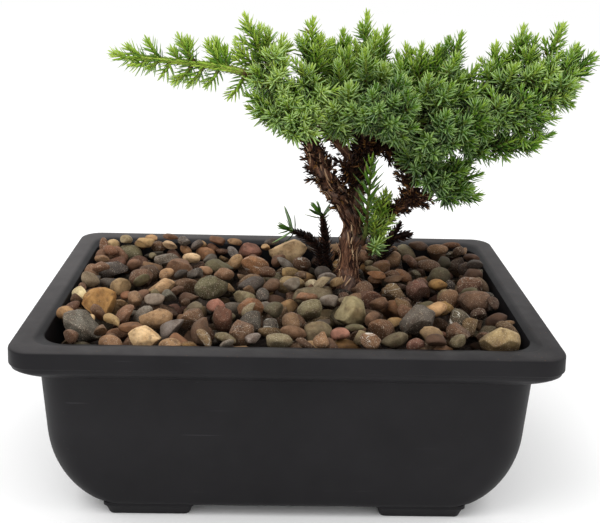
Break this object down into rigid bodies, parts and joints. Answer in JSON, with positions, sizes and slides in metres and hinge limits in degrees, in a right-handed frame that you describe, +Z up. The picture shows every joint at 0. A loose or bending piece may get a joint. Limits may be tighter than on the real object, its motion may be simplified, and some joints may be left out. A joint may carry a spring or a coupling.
{
  "type": "potted juniper bonsai",
  "caption": "Young needle-leaved juniper bonsai with spreading branches in a rectangular charcoal plastic training pot, top-dressed with rounded river pebbles.",
  "frame": {"origin": "centre of the whole plant's bounding box in plan, at ground level under the pot's feet; the pot's own middle lies about 12 mm towards -X, because the crown reaches past the pot's +X end", "axes": "+X along the pot's long side, to the right seen from the front; +Y from the front to the back; +Z up"},
  "size_m": [0.2274, 0.152, 0.1923],
  "materials": {
    "pot_plastic": "satin",
    "net_plastic": "matte",
    "soil": "matte",
    "gravel": "matte",
    "bark": "matte",
    "dead_shoot": "matte",
    "needles_bright": "satin",
    "needles_deep": "satin",
    "stone_slate": "matte",
    "stone_ochre": "matte",
    "stone_tan": "matte",
    "stone_cream": "matte",
    "stone_rust": "matte",
    "stone_umber": "matte",
    "stone_olive": "matte",
    "stone_rose": "matte"
  },
  "bodies": {
    "root": {"pot": "pot_plastic", "drainage_mesh_left": "net_plastic", "drainage_mesh_right": "net_plastic", "soil": "soil", "gravel_bed": "gravel", "trunk_and_limbs": "bark", "foliage_long_branch": "needles_bright", "foliage_upper_left": "needles_bright", "foliage_left_shelf": "needles_deep", "foliage_upright_left": "needles_bright", "foliage_crown_left": "needles_bright", "foliage_crown_peak": "needles_bright", "foliage_crown_front": "needles_deep", "foliage_crown_right": "needles_bright", "foliage_front_right": "needles_deep", "foliage_right_upper": "needles_bright", "foliage_right_end": "needles_bright", "foliage_right_mid": "needles_deep", "foliage_right_low": "needles_deep", "foliage_lower_right": "needles_deep", "foliage_trunk_sprig_tall": "needles_deep", "foliage_trunk_sprig_short": "needles_deep", "foliage_back_left": "needles_deep", "foliage_back_centre": "needles_deep", "foliage_back_right": "needles_deep", "foliage_back_low": "needles_deep", "low_shoot_left": "dead_shoot", "low_shoot_middle": "dead_shoot", "low_shoot_right": "dead_shoot", "pebble_01": "stone_slate", "pebble_02": "stone_ochre", "pebble_03": "stone_tan", "pebble_04": "stone_slate", "pebble_05": "stone_umber", "pebble_06": "stone_umber", "pebble_07": "stone_cream", "pebble_08": "stone_olive", "pebble_09": "stone_olive", "pebble_10": "stone_rose", "pebble_11": "stone_rust", "pebble_12": "stone_tan", "pebble_13": "stone_cream", "pebble_14": "stone_umber", "pebble_15": "stone_rust", "pebble_16": "stone_umber", "pebble_17": "stone_rust", "pebble_18": "stone_cream", "pebble_19": "stone_olive", "pebble_20": "stone_cream", "pebble_21": "stone_olive", "pebble_22": "stone_rust", "pebble_23": "stone_rust", "pebble_24": "stone_slate", "pebble_25": "stone_ochre", "pebble_26": "stone_rose", "pebble_27": "stone_olive", "pebble_28": "stone_umber", "pebble_29": "stone_umber", "pebble_30": "stone_umber", "pebble_31": "stone_cream"}
  },
  "joints": []
}
